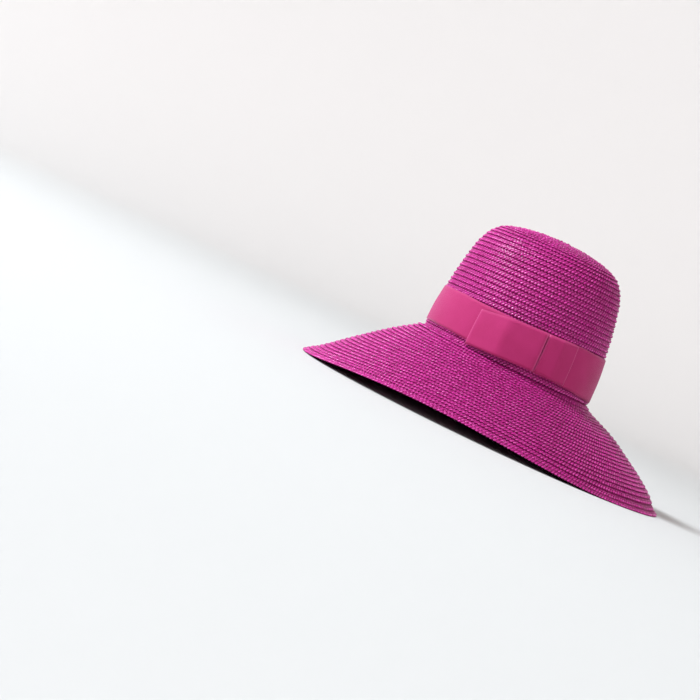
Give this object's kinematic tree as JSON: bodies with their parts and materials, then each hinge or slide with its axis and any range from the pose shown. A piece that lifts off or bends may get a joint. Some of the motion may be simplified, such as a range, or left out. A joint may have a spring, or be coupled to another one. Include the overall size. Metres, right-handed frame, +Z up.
{
  "type": "straw hat",
  "caption": "Wide-brimmed straw hat with a tapered round crown, a sloping brim, a ribbon band and a flat folded bow",
  "frame": {"origin": "on the surface that the hat rests on, under the middle of the brim", "axes": "+Z up through the crown, -Y towards the front of the hat, -X towards the wearer's right, where the bow is"},
  "size_m": [0.4, 0.42, 0.2249],
  "materials": {
    "straw": "glossy dyed straw plait, sewn in overlapping rows",
    "ribbon": "matte ribbed grosgrain ribbon"
  },
  "bodies": {
    "root": {"crown": "straw", "brim": "straw", "hat_band": "ribbon", "bow_long_loop": "ribbon", "bow_short_loop": "ribbon"}
  },
  "joints": []
}
